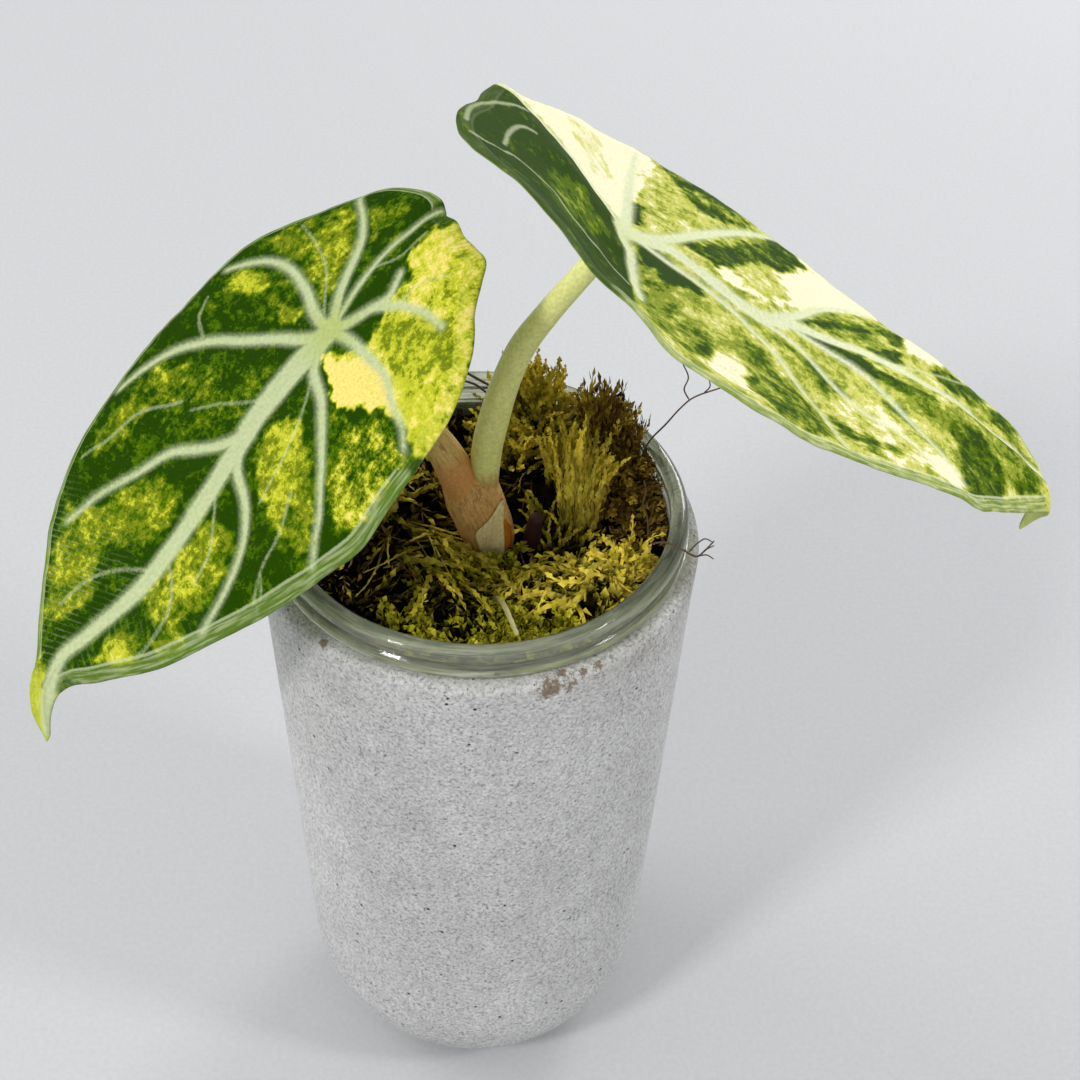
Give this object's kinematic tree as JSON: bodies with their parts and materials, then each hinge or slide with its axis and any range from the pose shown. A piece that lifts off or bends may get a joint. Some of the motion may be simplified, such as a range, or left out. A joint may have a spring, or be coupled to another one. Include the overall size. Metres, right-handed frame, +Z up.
{
  "type": "potted alocasia",
  "caption": "Small variegated house plant with broad shield-shaped leaves, in a clear cup of moss inside a tall tapered concrete pot.",
  "frame": {"origin": "centre of the concrete pot's flat underside", "axes": "+Z up along the pot's axis; the pictured front of the plant faces -Y, and the right leaf points towards +X"},
  "size_m": [0.2167, 0.1084, 0.2822],
  "materials": {
    "concrete": "light-grey cast concrete, fine dark speckle, matt",
    "clear_plastic": "thin clear plastic, glossy",
    "moss": "damp sphagnum and sheet moss, green, yellow and brown",
    "stem_bark": "dry brown leaf sheaths",
    "petiole_tan": "tan, smooth, slightly waxy",
    "petiole_green": "pale yellow-green, smooth, slightly waxy",
    "leaf": "dark and lime green with cream variegation, pale veins, soft satin",
    "old_stub": "dark red-purple, dull",
    "dead_wood": "dry brown twig",
    "dry_stalk": "dry pale straw",
    "root": "thin dark brown root"
  },
  "bodies": {
    "root": {"concrete_pot": "concrete", "clear_cup": "clear_plastic", "moss": "moss", "stem": "stem_bark", "petiole_left": "petiole_tan", "petiole_right": "petiole_green", "leaf_left": "leaf", "leaf_right": "leaf", "old_stub": "old_stub", "dead_twig": "dead_wood", "pale_stalk": "dry_stalk", "root_over_rim": "root", "root_rising": "root"}
  },
  "joints": []
}
